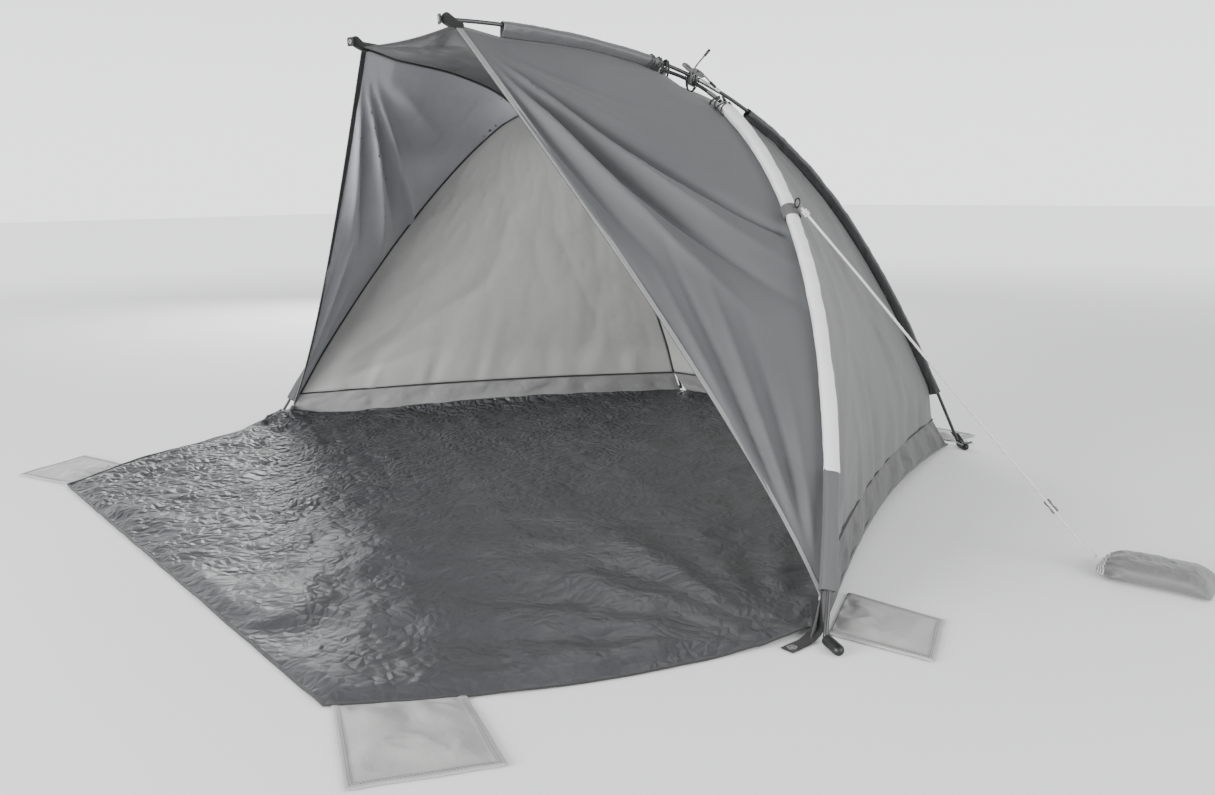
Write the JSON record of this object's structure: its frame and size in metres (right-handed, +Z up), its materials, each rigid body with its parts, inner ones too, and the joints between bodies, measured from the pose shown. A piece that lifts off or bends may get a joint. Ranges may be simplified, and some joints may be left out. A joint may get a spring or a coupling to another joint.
{
  "type": "pole-frame beach shelter tent",
  "caption": "Low three-pole beach shelter: open-fronted cloth canopy hung in pole sleeves over a groundsheet with a fold-out porch, sand pockets and a sandbag guy line.",
  "frame": {"origin": "on the ground, midway between the two front feet", "axes": "+X towards the front foot on the right as seen from in front, +Y into the tent, +Z up"},
  "size_m": [2.7123, 2.2615, 1.0829],
  "materials": {
    "pole_fibreglass": "satin",
    "ferrule_steel": "brushed",
    "shock_cord": "woven",
    "end_cap": "matt",
    "arch_sleeve": "coated woven",
    "ridge_sleeve": "coated woven",
    "roof_cloth": "coated woven",
    "front_cloth": "coated woven",
    "side_cloth": "coated woven",
    "hem_cloth": "coated woven",
    "groundsheet": "satin laminate",
    "sand_pocket": "coated woven",
    "guy_loop": "webbing",
    "guy_ring": "matt",
    "guy_cord": "braided",
    "guy_runner": "matt",
    "sand_bag": "coated woven",
    "webbing": "webbing",
    "eyelet": "polished",
    "tie_cord": "braided",
    "elastic_hook": "braided elastic"
  },
  "bodies": {
    "shelter": {"arch_section_1": "pole_fibreglass", "arch_section_2": "pole_fibreglass", "arch_section_3": "pole_fibreglass", "arch_section_4": "pole_fibreglass", "arch_section_5": "pole_fibreglass", "arch_section_6": "pole_fibreglass", "right_ridge_section_1": "pole_fibreglass", "right_ridge_section_2": "pole_fibreglass", "right_ridge_section_3": "pole_fibreglass", "left_ridge_section_1": "pole_fibreglass", "left_ridge_section_2": "pole_fibreglass", "left_ridge_section_3": "pole_fibreglass", "arch_ferrules": "ferrule_steel", "right_ridge_ferrules": "ferrule_steel", "left_ridge_ferrules": "ferrule_steel", "arch_shock_cord": "shock_cord", "right_ridge_shock_cord": "shock_cord", "left_ridge_shock_cord": "shock_cord", "front_foot_caps": "end_cap", "rear_foot_caps": "end_cap", "tip_caps": "end_cap", "arch_sleeve_right": "arch_sleeve", "arch_sleeve_left": "arch_sleeve", "crown_sleeve": "ridge_sleeve", "front_sleeve_right": "ridge_sleeve", "front_sleeve_left": "ridge_sleeve", "rear_sleeve_right": "ridge_sleeve", "rear_sleeve_left": "ridge_sleeve", "roof_panel": "roof_cloth", "rear_panel": "side_cloth", "front_panel_right": "front_cloth", "front_panel_left": "front_cloth", "side_panel_right": "side_cloth", "side_panel_left": "side_cloth", "hem_band_right": "hem_cloth", "hem_band_left": "hem_cloth", "hem_band_rear": "hem_cloth", "floor_sheet": "groundsheet", "guy_loops": "guy_loop", "guy_rings": "guy_ring", "front_foot_tabs": "webbing", "rear_foot_tabs": "webbing", "tip_tabs": "webbing", "foot_eyelets": "eyelet", "tip_eyelets": "eyelet", "junction_ties": "tie_cord", "junction_hooks": "elastic_hook"},
    "porch": {"porch_sheet": "groundsheet"},
    "porch_pocket_right": {"porch_pocket_right": "sand_pocket"},
    "porch_pocket_left": {"porch_pocket_left": "sand_pocket"},
    "side_pocket_right": {"side_pocket_right": "sand_pocket"},
    "side_pocket_left": {"side_pocket_left": "sand_pocket"},
    "rear_pocket_right": {"rear_pocket_right": "sand_pocket"},
    "rear_pocket_left": {"rear_pocket_left": "sand_pocket"},
    "guy_line": {"guy_cord": "guy_cord", "sand_bag": "sand_bag"},
    "runner": {"guy_runner": "guy_runner"}
  },
  "joints": [
    {"name": "porch_fold", "type": "hinge", "parent": "shelter", "child": "porch", "pos_m": [0, -0.04, 0.003], "axis": [-1, 0, 0], "range_deg": [0, 72]},
    {"name": "porch_pocket_right_flap", "type": "hinge", "parent": "porch", "child": "porch_pocket_right", "pos_m": [0.7566, -0.6959, 0.0042], "axis": [-0.5536, -0.8328, 0], "range_deg": [0, 150]},
    {"name": "porch_pocket_left_flap", "type": "hinge", "parent": "porch", "child": "porch_pocket_left", "pos_m": [-0.7566, -0.6959, 0.0042], "axis": [-0.5536, 0.8328, 0], "range_deg": [0, 150]},
    {"name": "side_pocket_right_flap", "type": "hinge", "parent": "shelter", "child": "side_pocket_right", "pos_m": [1.083, 0.032, 0.0042], "axis": [0.454, -0.891, 0], "range_deg": [0, 70]},
    {"name": "side_pocket_left_flap", "type": "hinge", "parent": "shelter", "child": "side_pocket_left", "pos_m": [-1.083, 0.032, 0.0042], "axis": [0.454, 0.891, 0], "range_deg": [0, 70]},
    {"name": "rear_pocket_right_flap", "type": "hinge", "parent": "shelter", "child": "rear_pocket_right", "pos_m": [0.525, 1.331, 0.0042], "axis": [1, 0, 0], "range_deg": [0, 70]},
    {"name": "rear_pocket_left_flap", "type": "hinge", "parent": "shelter", "child": "rear_pocket_left", "pos_m": [-0.525, 1.331, 0.0042], "axis": [1, 0, 0], "range_deg": [0, 70]},
    {"name": "guy_swing", "type": "hinge", "parent": "shelter", "child": "guy_line", "pos_m": [0.7496, 0.3305, 0.6967], "axis": [0, 0, 1], "range_deg": [-25, 25]},
    {"name": "runner_slide", "type": "slide", "parent": "guy_line", "child": "runner", "axis": [-0.5518, -0.3545, 0.7548], "range_m": [0, 0.15]}
  ]
}
